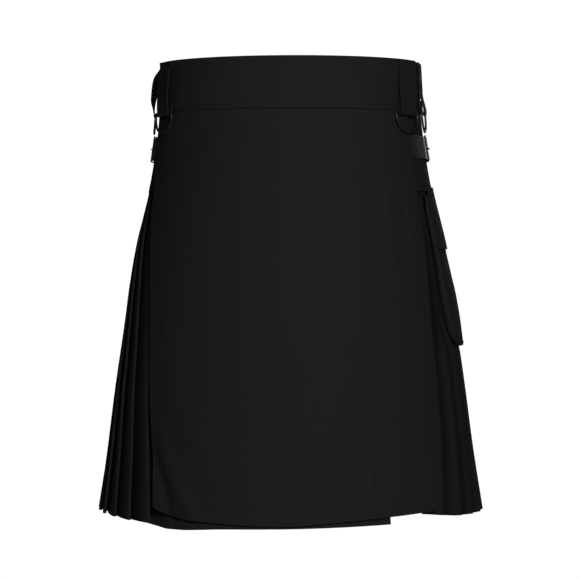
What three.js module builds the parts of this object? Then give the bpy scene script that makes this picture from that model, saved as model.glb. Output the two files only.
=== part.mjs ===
import * as THREE from "three";

// Utility kilt, worn and hollow, in millimetres. +Z is up, the front faces -Y and the wearer's left is +X.
// The origin is the centre of the waistband, half way up it, where the waist carries the garment.
// The cloth is wound once and a third round the body. A place on it is given by its turn in degrees, counted
// from the front centre towards the wearer's left, by its height z, and by its level: how far it lies outside
// the form that the pleated cloth hangs on.

// Driving sizes of the garment
const BAND_TOP = 34.5;
const BAND_BOTTOM = -34.5;
const YOKE_BOTTOM = -140;
const HEM = -569.5;
const CLOTH = 1.2;
const BAND_THICK = 3;
const SEAM_GAP = 0.3;
const PLEATS = 30;
const PLEATS_PER_PANEL = 5;

// Levels of the middle of the cloth: over apron, its turned-in edge, and all that lies on the form
const OVER_LEVEL = 3.5;
const RETURN_LEVEL = 1.1;
const SKIN_LEVEL = -0.6;

// The form: half width, depth in front and depth behind at each height
const FORM = [
  { z: 40, half: 173.8, front: 125.5, back: 124 },
  { z: 0, half: 175.4, front: 127, back: 126 },
  { z: -35, half: 177.2, front: 130, back: 130 },
  { z: -96, half: 185, front: 138, back: 141 },
  { z: -140, half: 193, front: 144, back: 150 },
  { z: -205, half: 208.2, front: 156, back: 162 },
  { z: -270, half: 219.6, front: 168, back: 172 },
  { z: -335, half: 228.4, front: 178, back: 181 },
  { z: -401, half: 237.8, front: 187, back: 190 },
  { z: -488, half: 249.4, front: 198, back: 202 },
  { z: -580, half: 263.4, front: 210, back: 215 },
];

// Turns of the over apron's two upright edges: free on the wearer's right, folded on the wearer's left
const APRON_EDGES = [
  { z: 40, free: -76, fold: 62 },
  { z: -35, free: -73.2, fold: 62.2 },
  { z: -98, free: -69.9, fold: 63 },
  { z: -142, free: -65.4, fold: 62.6 },
  { z: -200, free: -59.3, fold: 58.6 },
  { z: -280, free: -52.5, fold: 54.9 },
  { z: -415, free: -46.2, fold: 53.3 },
  { z: -482, free: -43, fold: 52.3 },
  { z: -580, free: -38.7, fold: 48.7 },
];

// Height of each hem along its turns
const OVER_HEM = [
  { turn: -41, z: -548.5 },
  { turn: -34, z: -559.8 },
  { turn: -17, z: -567.9 },
  { turn: 3, z: -570.2 },
  { turn: 14, z: -566.6 },
  { turn: 28, z: -562 },
  { turn: 50, z: -556 },
];
const UNDER_HEM = [
  { turn: 310, z: -572 },
  { turn: 326, z: -579 },
  { turn: 345, z: -575.5 },
  { turn: 365, z: -573.6 },
  { turn: 394, z: -570.1 },
];
const PLEAT_HEM = [
  { turn: 45, z: -560 },
  { turn: 62, z: -566.5 },
  { turn: 90, z: -568 },
  { turn: 180, z: -571 },
  { turn: 270, z: -568.5 },
  { turn: 325, z: -574 },
];

// Soft folds in the over apron: each runs from its top to its foot, `out` is its height and `width` its
// half width
const APRON_FOLDS = [
  { topTurn: -47, topZ: -430, footTurn: -27, footZ: -575, width: 13, out: -4.5 },
  { topTurn: -49, topZ: -490, footTurn: -35, footZ: -580, width: 10, out: 2.5 },
  { topTurn: 3, topZ: -535, footTurn: -2, footZ: -575, width: 12, out: -2 },
];

// Knife pleats: how far the first stands past the apron's fold, and how deep each is, at each height
const PLEAT_FORM = [
  { z: -140, firstStep: 8, depth: 6.8, bend: 0.9 },
  { z: -285, firstStep: 16, depth: 8.2, bend: 1.1 },
  { z: -570, firstStep: 19, depth: 11, bend: 1.6 },
];
const UNDERLAP = 0.7;

// Belt loops: turn of each, its stand-off, and the place of the ring's bar in its turned end
const HIP_LOOPS = [
  { name: "right_front", turn: -62, bandLevel: 5, stand: 7.2, barOut: 3.6, barZ: -37.5 },
  { name: "right_rear", turn: -83.5, bandLevel: 0.9, stand: 8, barOut: 4.6, barZ: -34.5 },
  { name: "left_front", turn: 60, bandLevel: 5, stand: 7, barOut: 3.5, barZ: -37.5 },
  { name: "left_rear", turn: 86, bandLevel: 0.9, stand: 1.6, barOut: 3.5, barZ: -33.5 },
];
const BACK_LOOPS = [
  { name: "back_left", turn: 155 },
  { name: "back_right", turn: 205 },
];
const LOOP_WIDTH = 34;
const LOOP_CLOTH = 1.2;

// D-rings
const RING_WIDTH = 43;
const RING_DROP = 26;
const RING_WIRE = 3;
const RING_TILT = 5;

// Hip straps and buckles
const STRAP_Z = -81;
const STRAP_WIDTH = 30;
const STRAP_THICK = 2;
const BUCKLE_TURN = 88;
const BUCKLE_HALF = 11;
const BUCKLE_WIRE = 2;
const CHAPE_WIDTH = 22;
const CHAPE_THICK = 1.4;

// Cargo pocket: turns of its two upright sides and levels of its outer and inner walls at each height
const POCKET_FORM = [
  { z: -146, from: 72.6, to: 126.5, outer: -0.5, inner: -2.6 },
  { z: -172, from: 72, to: 127, outer: -0.3, inner: -5.8 },
  { z: -217, from: 71.6, to: 127.5, outer: 0, inner: -5.8 },
  { z: -290, from: 71.5, to: 127.5, outer: 3, inner: -5.6 },
  { z: -332, from: 74.5, to: 124.5, outer: 4.8, inner: -3.4 },
  { z: -348, from: 80, to: 119, outer: 5.2, inner: 0.6 },
];
const FLAP_FORM = [
  { z: -134, from: 75.4, to: 123.5, level: 1.1 },
  { z: -175, from: 73, to: 126.5, level: 1.4 },
  { z: -217, from: 70.6, to: 128.5, level: 1.7 },
];
const FLAP_THICK = 1.6;
const POCKET_PRESS = 6.8;

const DEGREE = Math.PI / 180;
const { lerp, clamp, smoothstep } = THREE.MathUtils;

// Evenly spaced numbers from a to b.
const steps = (a, b, n) => Array.from({ length: n + 1 }, (_, i) => lerp(a, b, i / n));

// A value from a table at x: smooth from row to row and level past both ends.
function fromTable(rows, xName, yName, x) {
  const up = rows[rows.length - 1][xName] > rows[0][xName];
  const table = up ? rows : [...rows].reverse();
  const last = table.length - 1;
  const at = clamp(x, table[0][xName], table[last][xName]);
  let i = 0;
  while (i < last - 1 && at > table[i + 1][xName]) i += 1;
  const slope = (k) => {
    const before = table[Math.max(0, k - 1)];
    const after = table[Math.min(last, k + 1)];
    return (after[yName] - before[yName]) / (after[xName] - before[xName]);
  };
  const span = table[i + 1][xName] - table[i][xName];
  const s = (at - table[i][xName]) / span;
  const rise = lerp(table[i][yName], table[i + 1][yName], s * s * (3 - 2 * s));
  const pull = slope(i) * s * (1 - s) * (1 - s) - slope(i + 1) * s * s * (1 - s);
  return rise + span * pull;
}

// The form's half width and its depth on the side that a turn lies on.
function sizesAt(turn, z) {
  const side = Math.cos(turn * DEGREE) >= 0 ? "front" : "back";
  return { half: fromTable(FORM, "z", "half", z), depth: fromTable(FORM, "z", side, z) };
}

function outward(turn, z) {
  const { half, depth } = sizesAt(turn, z);
  const across = Math.sin(turn * DEGREE) / half;
  const forward = -Math.cos(turn * DEGREE) / depth;
  return new THREE.Vector3(across, forward, 0).normalize();
}

// A point of the garment.
function place(turn, z, level) {
  const { half, depth } = sizesAt(turn, z);
  const x = half * Math.sin(turn * DEGREE);
  const y = -depth * Math.cos(turn * DEGREE);
  return new THREE.Vector3(x, y, z).addScaledVector(outward(turn, z), level);
}

// Millimetres along the form for one degree of turn.
function perDegree(turn, z) {
  const { half, depth } = sizesAt(turn, z);
  return Math.hypot(half * Math.cos(turn * DEGREE), depth * Math.sin(turn * DEGREE)) * DEGREE;
}

// Signed volume of a closed mesh: below nought where its faces point inwards.
function volumeOf(positions, index) {
  const point = (i) => new THREE.Vector3().fromArray(positions, 3 * i);
  let six = 0;
  for (let i = 0; i < index.length; i += 3) {
    six += point(index[i]).dot(point(index[i + 1]).cross(point(index[i + 2])));
  }
  return six / 6;
}

// A closed body through rings of equal length. Unless it closes on itself, each end is a strip between the
// first half of its ring and the second.
function loft(rings, closed = false) {
  const count = rings[0].length;
  const positions = rings.flat().flatMap((p) => [p.x, p.y, p.z]);
  const index = [];
  const quad = (a, b, c, d) => index.push(a, b, c, a, c, d);
  const spans = closed ? rings.length : rings.length - 1;
  for (let r = 0; r < spans; r += 1) {
    const low = r * count;
    const high = ((r + 1) % rings.length) * count;
    for (let i = 0; i < count; i += 1) {
      const j = (i + 1) % count;
      quad(low + i, low + j, high + j, high + i);
    }
  }
  if (!closed) {
    const end = (rings.length - 1) * count;
    for (let i = 0; i < count / 2 - 1; i += 1) {
      quad(i + 1, i, count - 1 - i, count - 2 - i);
      quad(end + i, end + i + 1, end + count - 2 - i, end + count - 1 - i);
    }
  }
  if (volumeOf(positions, index) < 0) index.reverse();
  const geometry = new THREE.BufferGeometry();
  geometry.setAttribute("position", new THREE.Float32BufferAttribute(positions, 3));
  geometry.setIndex(index);
  return geometry;
}

// Both sides of a flat section's middle line, as one ring of 2-D points.
function stripRing(line, thick) {
  const side = (sign) =>
    line.map((p, i) => {
      const into = p.clone().sub(line[Math.max(0, i - 1)]).normalize();
      const out = line[Math.min(line.length - 1, i + 1)].clone().sub(p).normalize();
      const along = into.clone().add(out).normalize();
      const inner = i > 0 && i < line.length - 1;
      const reach = (sign * thick) / 2 / (inner ? Math.max(0.6, along.dot(into)) : 1);
      return new THREE.Vector2(p.x - along.y * reach, p.y + along.x * reach);
    });
  return [...side(1), ...side(-1).reverse()];
}

// A cloth wall. Each row is a middle line of { turn, z, level } points that runs along the cloth's width.
function wall(rowsOfPoints, thick) {
  const rings = rowsOfPoints.map((row) => {
    const flat = [new THREE.Vector2(0, row[0].level)];
    for (let i = 1; i < row.length; i += 1) {
      const middle = (row[i].turn + row[i - 1].turn) / 2;
      const step = (row[i].turn - row[i - 1].turn) * perDegree(middle, row[i].z);
      flat.push(new THREE.Vector2(flat[i - 1].x + step, row[i].level));
    }
    return stripRing(flat, thick).map((p, k) => {
      const i = k < row.length ? k : 2 * row.length - 1 - k;
      const { turn, z } = row[i];
      return place(turn + (p.x - flat[i].x) / perDegree(turn, z), z, p.y);
    });
  });
  return loft(rings);
}

// A body swept along a line of points. `up` is square to the line, `section` lists [side, up] offsets.
function sweep(points, up, section, closed) {
  const last = points.length - 1;
  const rings = points.map((p, i) => {
    const before = points[closed ? (i + last) % points.length : Math.max(0, i - 1)];
    const after = points[closed ? (i + 1) % points.length : Math.min(last, i + 1)];
    const side = after.clone().sub(before).cross(up).normalize();
    return section.map(([a, b]) => p.clone().addScaledVector(side, a).addScaledVector(up, b));
  });
  return loft(rings, closed);
}

const wireSection = (radius, sides) =>
  Array.from({ length: sides }, (_, i) => {
    const angle = ((i + 0.5) / sides) * 2 * Math.PI;
    return [radius * Math.cos(angle), radius * Math.sin(angle)];
  });

const group = new THREE.Group();

const FINISHES = {
  cloth: { color: 0x17171a, roughness: 0.9, metalness: 0 },
  leather: { color: 0x232025, roughness: 0.5, metalness: 0 },
  metal: { color: 0x1b1b1d, roughness: 0.35, metalness: 0.9 },
};

function add(name, finish, geometry) {
  const mesh = new THREE.Mesh(geometry, new THREE.MeshStandardMaterial(FINISHES[finish]));
  mesh.name = name;
  group.add(mesh);
}

// Waistband: over the front, round the back, and on inside under the over apron's run
const BAND_START = -76;
const BAND_JOIN = 64;
const BAND_END = 392;

function bandLevel(turn) {
  if (turn <= BAND_JOIN) return OVER_LEVEL;
  return lerp(OVER_LEVEL, SKIN_LEVEL, smoothstep(turn, BAND_JOIN, BAND_JOIN + 18));
}

function bandRun(name, from, to, columns) {
  const heights = steps(BAND_TOP, BAND_BOTTOM, 2);
  const run = heights.map((z) =>
    steps(from, to, columns).map((turn) => ({ turn, z, level: bandLevel(turn) })),
  );
  add(name, "cloth", wall(run, BAND_THICK));
}

const BAND_GAP = SEAM_GAP / perDegree(BAND_JOIN, 0);
bandRun("waistband_front", BAND_START, BAND_JOIN, 26);
bandRun("waistband_back", BAND_JOIN + BAND_GAP, 360 + BAND_START - BAND_GAP, 36);
bandRun("waistband_under", 360 + BAND_START, BAND_END, 20);

// Aprons
const foldEdge = (z) => fromTable(APRON_EDGES, "z", "fold", z);
const freeEdge = (z) => fromTable(APRON_EDGES, "z", "free", z);
const CLOTH_TOP = BAND_BOTTOM - SEAM_GAP;
const TURNED_IN = 24;

function apronFold(turn, z) {
  let out = 0;
  for (const fold of APRON_FOLDS) {
    const down = clamp((z - fold.topZ) / (fold.footZ - fold.topZ), 0, 1);
    const middle = lerp(fold.topTurn, fold.footTurn, down);
    const away = ((turn - middle) * perDegree(turn, z)) / fold.width;
    out += fold.out * smoothstep(down, 0, 0.6) * Math.exp(-away * away);
  }
  return out;
}

function overApronRow(down) {
  const straight = lerp(CLOTH_TOP, HEM, down);
  const fold = foldEdge(straight);
  const mm = 1 / perDegree(fold, straight);
  const bend = (OVER_LEVEL - RETURN_LEVEL) / 2;
  const height = (turn) => lerp(CLOTH_TOP, fromTable(OVER_HEM, "turn", "z", turn), down);
  const flat = steps(freeEdge(straight), fold - bend * mm, 28).map((turn) => {
    const z = height(turn);
    return { turn, z, level: OVER_LEVEL + apronFold(turn, z) };
  });
  const edge = [
    { turn: fold, level: OVER_LEVEL - bend },
    { turn: fold - bend * mm, level: RETURN_LEVEL },
    { turn: fold - (TURNED_IN / 2) * mm, level: RETURN_LEVEL },
    { turn: fold - TURNED_IN * mm, level: RETURN_LEVEL },
  ].map((p) => ({ ...p, z: height(p.turn) }));
  return [...flat, ...edge];
}
add("over_apron", "cloth", wall(steps(0, 1, 13).map(overApronRow), CLOTH));

// Place and depth of the pleats
const pleatForm = (z, name) => fromTable(PLEAT_FORM, "z", name, z);

function pleatEdge(i, z) {
  const fold = foldEdge(z);
  const first = fold + pleatForm(z, "firstStep") / perDegree(fold + 3, z);
  const last = 360 + freeEdge(z) - 2;
  return i === 0 ? fold : lerp(first, last, (i - 1) / (PLEATS - 1));
}

function pocketPress(turn, z) {
  const across = smoothstep(turn, 61, 70.5) * (1 - smoothstep(turn, 129, 165));
  const along = smoothstep(-z, -YOKE_BOTTOM + 1, 152) * (1 - smoothstep(-z, 320, 357));
  return POCKET_PRESS * across * along;
}

// Level of a pleat's outer fold, and of the cloth at the bottom of the pleat.
function pleatTop(turn, z) {
  const settled = smoothstep(-z, -YOKE_BOTTOM, 200);
  const sway = 0.6 * Math.sin(turn * 0.31) * smoothstep(-z, 380, -HEM);
  return lerp(SKIN_LEVEL - 0.9, SKIN_LEVEL, settled) + sway - pocketPress(turn, z);
}
const pleatBottom = (turn, z) => pleatTop(turn, z) - pleatForm(z, "depth");

// Under apron: it comes out of the last pleat on the wearer's right and ends free under the over apron
const UNDER_END = 393;
const LAST_TUCK = 10;
const IN_YOKE = SKIN_LEVEL - CLOTH - 0.6;
const APRON_ROOM = OVER_LEVEL - SKIN_LEVEL - CLOTH - 0.9;

function underApronRow(down) {
  const straight = lerp(CLOTH_TOP, HEM, down);
  const edge = pleatEdge(PLEATS, straight);
  const mm = 1 / perDegree(edge, straight);
  const first = edge - LAST_TUCK * mm;
  const start = lerp(IN_YOKE, pleatBottom(edge, straight), smoothstep(-straight, 95, 139));
  const tucked = [first, edge + 2 * mm];
  const free = steps(edge + 2 * mm, UNDER_END, 18).slice(1);
  return [...tucked, ...free].map((turn) => {
    const z = lerp(CLOTH_TOP, fromTable(UNDER_HEM, "turn", "z", turn), down);
    const rise = lerp(start, SKIN_LEVEL, smoothstep(turn, edge + 2 * mm, edge + 48 * mm));
    const pressed = Math.min(0, apronFold(turn - 360, z) + APRON_ROOM);
    return { turn, z, level: rise + pressed };
  });
}
add("under_apron", "cloth", wall(steps(0, 1, 10).map(underApronRow), CLOTH));

// Yoke: three widths from under the apron's turned-in edge round to the last pleat
const YOKE_SEAMS = [118, 242];
const LAP = 18;
const BEHIND_YOKE = CLOTH + 0.4;
const yokeStart = (z) => foldEdge(z) - LAP / perDegree(foldEdge(z), z);
const yokeEnd = (z) => pleatEdge(PLEATS, z);
const atSeam = (turn, side) => (z) => turn + (side * SEAM_GAP) / 2 / perDegree(turn, z);

function yokeWidth(name, from, to) {
  const heights = steps(CLOTH_TOP, YOKE_BOTTOM, 4);
  const rows = heights.map((z) =>
    steps(from(z), to(z), 14).map((turn) => ({ turn, z, level: SKIN_LEVEL })),
  );
  add(name, "cloth", wall(rows, CLOTH));
}
yokeWidth("yoke_left", yokeStart, atSeam(YOKE_SEAMS[0], -1));
yokeWidth("yoke_back", atSeam(YOKE_SEAMS[0], 1), atSeam(YOKE_SEAMS[1], -1));
yokeWidth("yoke_right", atSeam(YOKE_SEAMS[1], 1), yokeEnd);

// Knife pleats. Pleat i has its outer fold at pleatEdge(i), goes back under it and forward again.
const PLEAT_TOP = YOKE_BOTTOM - SEAM_GAP;
const PLEAT_ROWS = [0, 0.025, 0.12, 0.27, 0.42, 0.49, 0.66, 0.82, 1];
const LEAD = 1.6;

function pleatRow(panel, down) {
  const z = lerp(PLEAT_TOP, HEM, down);
  const bend = pleatForm(z, "bend");
  const bottom = (turn) => pleatBottom(turn, z);
  const top = (turn) => pleatTop(turn, z);
  const tuck = (i) => {
    const edge = pleatEdge(i, z);
    const pitch = pleatEdge(i + 1, z) - edge;
    const mm = 1 / perDegree(edge, z);
    const inner = edge - UNDERLAP * (i < PLEATS ? pitch : edge - pleatEdge(i - 1, z));
    return [
      { turn: inner + bend * mm, level: bottom(edge) + 2 * bend },
      { turn: inner, level: bottom(edge) + bend },
      { turn: inner + bend * mm, level: bottom(edge) },
    ];
  };
  const crest = (i) => {
    const edge = pleatEdge(i, z);
    const mm = 1 / perDegree(edge, z);
    return [
      { turn: edge - bend * mm, level: top(edge) },
      { turn: edge, level: top(edge) - bend },
      { turn: edge - bend * mm, level: top(edge) - 2 * bend },
    ];
  };
  const meeting = (i, gap) => {
    const [start] = tuck(i);
    return { turn: start.turn + (LEAD + gap) / perDegree(start.turn, z), level: start.level };
  };
  const underEdge = (i) => {
    const edge = pleatEdge(i, z);
    const climbed = UNDERLAP / (1 + UNDERLAP);
    return { turn: edge, level: lerp(bottom(edge), top(pleatEdge(i + 1, z)), climbed) };
  };
  const first = panel * PLEATS_PER_PANEL + 1;
  const line = [];
  for (let i = first; i < first + PLEATS_PER_PANEL; i += 1) {
    if (i === 1) {
      const level = SKIN_LEVEL - BEHIND_YOKE;
      line.push({ turn: yokeStart(z), level }, { turn: foldEdge(z) - 1, level });
    } else {
      if (i === first) line.push(meeting(i - 1, 0));
      line.push(...tuck(i - 1), underEdge(i - 1));
    }
    line.push(...crest(i));
  }
  const last = first + PLEATS_PER_PANEL - 1;
  const lastEdge = pleatEdge(last, z);
  const mm = 1 / perDegree(lastEdge, z);
  if (last < PLEATS) {
    line.push(meeting(last, SEAM_GAP));
  } else {
    const end = lastEdge - (LAST_TUCK + 2 * SEAM_GAP) * mm;
    line.push(...tuck(last), { turn: end, level: bottom(lastEdge) });
  }
  return line.map((p) => {
    const foot = fromTable(PLEAT_HEM, "turn", "z", p.turn);
    return { ...p, z: lerp(PLEAT_TOP, foot, down) };
  });
}

for (let panel = 0; panel < PLEATS / PLEATS_PER_PANEL; panel += 1) {
  const rows = PLEAT_ROWS.map((down) => pleatRow(panel, down));
  add(`pleats_${panel + 1}`, "cloth", wall(rows, CLOTH));
}

// A flat strip across the waistband: its section is a line of [height above the band, z] points.
const alongBand = (turn) => new THREE.Vector3(0, 0, 1).cross(outward(turn, BAND_BOTTOM));

function strapAcross(turn, base, width, section, thick) {
  const along = alongBand(turn);
  const ring = stripRing(section, thick);
  const at = (x) => ring.map((p) => place(turn, p.y, base + p.x).addScaledVector(along, x));
  return loft([at(-width / 2), at(width / 2)]);
}

// Hip loops: sewn on at the top edge, standing off for a belt, and turned round the ring's bar at the foot
for (const { name, turn, bandLevel: base, stand, barOut, barZ } of HIP_LOOPS) {
  const sewn = SEAM_GAP + LOOP_CLOTH / 2;
  const round = RING_WIRE / 2 + SEAM_GAP + LOOP_CLOTH / 2;
  const section = [
    [sewn, BAND_TOP - 1],
    [sewn + 0.3, BAND_TOP - 8],
    [lerp(sewn, stand, 0.75), 15],
    [stand, 2],
    [stand, -12],
    [lerp(stand, barOut + round, 0.6), -24],
    [barOut + round, barZ + 3],
    ...steps(0, -180, 6).map((a) => [
      barOut + round * Math.cos(a * DEGREE),
      barZ + round * Math.sin(a * DEGREE),
    ]),
    [barOut - round, barZ + 4],
    [Math.min(barOut - round, sewn), barZ + 9],
    [sewn, barZ + 16],
  ].map(([out, z]) => new THREE.Vector2(out, z));
  add(`belt_loop_${name}`, "cloth", strapAcross(turn, base, LOOP_WIDTH, section, LOOP_CLOTH));
}

// Plain back loops: sewn on at the top edge and below the band
for (const { name, turn } of BACK_LOOPS) {
  const base = SKIN_LEVEL + BAND_THICK / 2;
  const sewn = SEAM_GAP + LOOP_CLOTH / 2;
  const section = [
    [sewn, BAND_TOP - 1],
    [sewn + 0.3, BAND_TOP - 7],
    [5.4, 18],
    [7, 6],
    [7, -6],
    [5.4, -18],
    [sewn + 0.3, -27],
    [sewn, -33],
  ].map(([out, z]) => new THREE.Vector2(out, z));
  add(`belt_loop_${name}`, "cloth", strapAcross(turn, base, LOOP_WIDTH, section, LOOP_CLOTH));
}

// D-rings: a straight bar in the loop's turned end and a round bow below it
function ringOutline() {
  const corner = 3.5;
  const outline = new THREE.Path();
  outline.moveTo(-RING_WIDTH / 2 + corner, 0);
  outline.lineTo(RING_WIDTH / 2 - corner, 0);
  outline.absarc(RING_WIDTH / 2 - corner, corner, corner, -Math.PI / 2, 0);
  outline.absellipse(0, corner, RING_WIDTH / 2, RING_DROP - corner, 0, Math.PI);
  outline.absarc(-RING_WIDTH / 2 + corner, corner, corner, Math.PI, 1.5 * Math.PI);
  return outline.getSpacedPoints(27).slice(0, -1);
}

for (const { name, turn, bandLevel: base, barOut, barZ } of HIP_LOOPS) {
  const bar = place(turn, barZ, base + barOut);
  const out = outward(turn, BAND_BOTTOM);
  const along = alongBand(turn);
  const tilt = RING_TILT * DEGREE;
  const hang = new THREE.Vector3(0, 0, -Math.cos(tilt)).addScaledVector(out, Math.sin(tilt));
  const points = ringOutline().map((p) =>
    bar.clone().addScaledVector(along, p.x).addScaledVector(hang, p.y),
  );
  const face = along.clone().cross(hang).normalize();
  add(`d_ring_${name}`, "metal", sweep(points, face, wireSection(RING_WIRE / 2, 6), true));
}

// Hip straps. Each comes from under the over apron's edge, passes under the buckle's front bar and over its
// rear bar, and lies on the chape that ties the buckle to the yoke.
function hipStrap(side, sign, firstTurn) {
  const mm = 1 / perDegree(BUCKLE_TURN, STRAP_Z);
  const toe = BUCKLE_TURN - BUCKLE_HALF * mm;
  const heel = BUCKLE_TURN + BUCKLE_HALF * mm;
  const lying = SEAM_GAP + STRAP_THICK / 2;
  const onChape = 2 * SEAM_GAP + CHAPE_THICK + STRAP_THICK / 2;
  const overBar = 3.8;
  const tip = heel + 44 * mm;
  const row = (edge, width, from, to, columns, level) =>
    steps(from, to, columns).map((turn) => {
      const left = (to - turn) / mm;
      const rounding = to === tip ? Math.sqrt(1 - (1 - clamp(left / 9, 0, 1)) ** 2) : 1;
      const half = (width / 2) * lerp(0.3, 1, rounding);
      return { turn: sign * turn, z: STRAP_Z + edge * half, level: level(turn) };
    });
  const strapLevel = (turn) => {
    const climb = lerp(lying, overBar, smoothstep(turn, toe + 2 * mm, heel - 3 * mm));
    return lerp(climb, onChape, smoothstep(turn, heel + 3 * mm, heel + 12 * mm));
  };
  const strap = [1, -1].map((edge) =>
    row(edge, STRAP_WIDTH, firstTurn, tip, 32, strapLevel),
  );
  add(`hip_strap_${side}`, "leather", wall(strap, STRAP_THICK));

  const chapeLevel = () => SEAM_GAP + CHAPE_THICK / 2;
  const chape = [1, -1].map((edge) =>
    row(edge, CHAPE_WIDTH, heel + 1.6 * mm, heel + 38 * mm, 6, chapeLevel),
  );
  add(`chape_${side}`, "leather", wall(chape, CHAPE_THICK));

  const toeLevel = 4.1;
  const heelLevel = 1.5;
  const outline = new THREE.Path();
  const corner = 3;
  const high = STRAP_WIDTH / 2 + 2;
  outline.moveTo(-BUCKLE_HALF + corner, -high);
  outline.lineTo(BUCKLE_HALF - corner, -high);
  outline.absarc(BUCKLE_HALF - corner, -high + corner, corner, -Math.PI / 2, 0);
  outline.lineTo(BUCKLE_HALF, high - corner);
  outline.absarc(BUCKLE_HALF - corner, high - corner, corner, 0, Math.PI / 2);
  outline.lineTo(-BUCKLE_HALF + corner, high);
  outline.absarc(-BUCKLE_HALF + corner, high - corner, corner, Math.PI / 2, Math.PI);
  outline.lineTo(-BUCKLE_HALF, -high + corner);
  outline.absarc(-BUCKLE_HALF + corner, -high + corner, corner, Math.PI, 1.5 * Math.PI);
  const frame = outline.getSpacedPoints(36).slice(0, -1).map((p) => {
    const across = (p.x + BUCKLE_HALF) / (2 * BUCKLE_HALF);
    return place(sign * (BUCKLE_TURN + p.x * mm), STRAP_Z + p.y, lerp(toeLevel, heelLevel, across));
  });
  const face = outward(sign * BUCKLE_TURN, STRAP_Z);
  add(`buckle_${side}`, "metal", sweep(frame, face, wireSection(BUCKLE_WIRE / 2, 6), true));

  const prongLevel = toeLevel + BUCKLE_WIRE / 2 + SEAM_GAP + 0.7;
  const prong = steps(heel + 1.5 * mm, toe - 2 * mm, 5).map((turn) =>
    place(sign * turn, STRAP_Z, prongLevel),
  );
  add(`prong_${side}`, "metal", sweep(prong, face, wireSection(0.7, 6), false));

  const keeperTurn = sign * (heel + 20 * mm);
  const over = onChape + STRAP_THICK / 2 + SEAM_GAP + 0.6;
  const reach = STRAP_WIDTH / 2 + 1.2;
  const keeperSection = [
    [SEAM_GAP + 0.6, reach + 5],
    [SEAM_GAP + 0.6, reach + 0.8],
    [over - 0.6, reach],
    [over, reach - 1.5],
    [over, 1.5 - reach],
    [over - 0.6, -reach],
    [SEAM_GAP + 0.6, -reach - 0.8],
    [SEAM_GAP + 0.6, -reach - 5],
  ].map(([out, z]) => new THREE.Vector2(out, STRAP_Z + z));
  add(`keeper_${side}`, "leather", strapAcross(keeperTurn, 0, 9, keeperSection, 1.2));
}

const edgeGap = SEAM_GAP / perDegree(63, STRAP_Z);
hipStrap("left", 1, foldEdge(STRAP_Z) + CLOTH / 2 / perDegree(63, STRAP_Z) + 2 * edgeGap);
hipStrap("right", -1, -freeEdge(STRAP_Z) - 5);

// Cargo pocket on the wearer's left: an open-topped bag that hangs from the yoke seam, and its flap
const bagForm = (z, name) => fromTable(POCKET_FORM, "z", name, z);

function bagRing(z, inset) {
  const trim = inset / perDegree(90, z);
  const from = bagForm(z, "from") + trim;
  const to = bagForm(z, "to") - trim;
  const grow = CLOTH / 2 - inset;
  const outer = steps(from, to, 12).map((turn) => place(turn, z, bagForm(z, "outer") + grow));
  const inner = steps(from, to, 12).map((turn) => place(turn, z, bagForm(z, "inner") - grow));
  return [...outer, ...inner.reverse()];
}
const bagTop = POCKET_FORM[0].z;
const bagBottom = POCKET_FORM[POCKET_FORM.length - 1].z;
const outside = steps(bagBottom, bagTop, 8).map((z) => bagRing(z, 0));
const inside = steps(bagTop, bagBottom + CLOTH, 8).map((z) => bagRing(z, CLOTH));
add("pocket_bag", "cloth", loft([...outside, ...inside]));

const flapForm = (z, name) => fromTable(FLAP_FORM, "z", name, z);
const flapRows = steps(FLAP_FORM[0].z, FLAP_FORM[2].z, 4).map((z) =>
  steps(flapForm(z, "from"), flapForm(z, "to"), 18).map((turn) => ({
    turn,
    z,
    level: flapForm(z, "level"),
  })),
);
add("pocket_flap", "cloth", wall(flapRows, FLAP_THICK));

export default group;
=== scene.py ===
import math

import bpy
import numpy as np
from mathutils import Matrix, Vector


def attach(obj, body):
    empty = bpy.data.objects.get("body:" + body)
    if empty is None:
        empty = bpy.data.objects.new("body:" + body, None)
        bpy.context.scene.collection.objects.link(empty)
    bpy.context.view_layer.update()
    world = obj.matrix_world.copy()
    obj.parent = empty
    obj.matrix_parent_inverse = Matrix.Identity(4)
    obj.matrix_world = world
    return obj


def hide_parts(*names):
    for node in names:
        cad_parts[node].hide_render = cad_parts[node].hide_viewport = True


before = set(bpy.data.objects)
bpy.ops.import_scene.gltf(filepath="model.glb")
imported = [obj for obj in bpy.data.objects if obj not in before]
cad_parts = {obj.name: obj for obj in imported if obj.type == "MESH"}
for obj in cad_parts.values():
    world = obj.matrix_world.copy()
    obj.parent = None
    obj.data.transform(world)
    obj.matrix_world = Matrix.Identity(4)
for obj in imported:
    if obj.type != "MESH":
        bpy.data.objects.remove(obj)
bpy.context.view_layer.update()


# The garment is worn and hollow: a wrap of black cotton twill, wound once and a third round the body. Every
# piece of it is laid out in the tailor's own measures: its turn in degrees from the front centre towards the
# wearer's left, its height, and its level, the millimetres that it lies outside the pleated cloth.
BAND_TOP = 34.5
BAND_BOTTOM = -34.5
YOKE_BOTTOM = -140.0
HEM = -569.5
CLOTH = 1.2
SEAM_GAP = 0.3
OVER_LEVEL = 3.5
SKIN_LEVEL = -0.6
FORM = {
    "z": [40, 0, -35, -96, -140, -205, -270, -335, -401, -488, -580],
    "half": [173.8, 175.4, 177.2, 185, 193, 208.2, 219.6, 228.4, 237.8, 249.4, 263.4],
    "front": [125.5, 127, 130, 138, 144, 156, 168, 178, 187, 198, 210],
    "back": [124, 126, 130, 141, 150, 162, 172, 181, 190, 202, 215],
}


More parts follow.
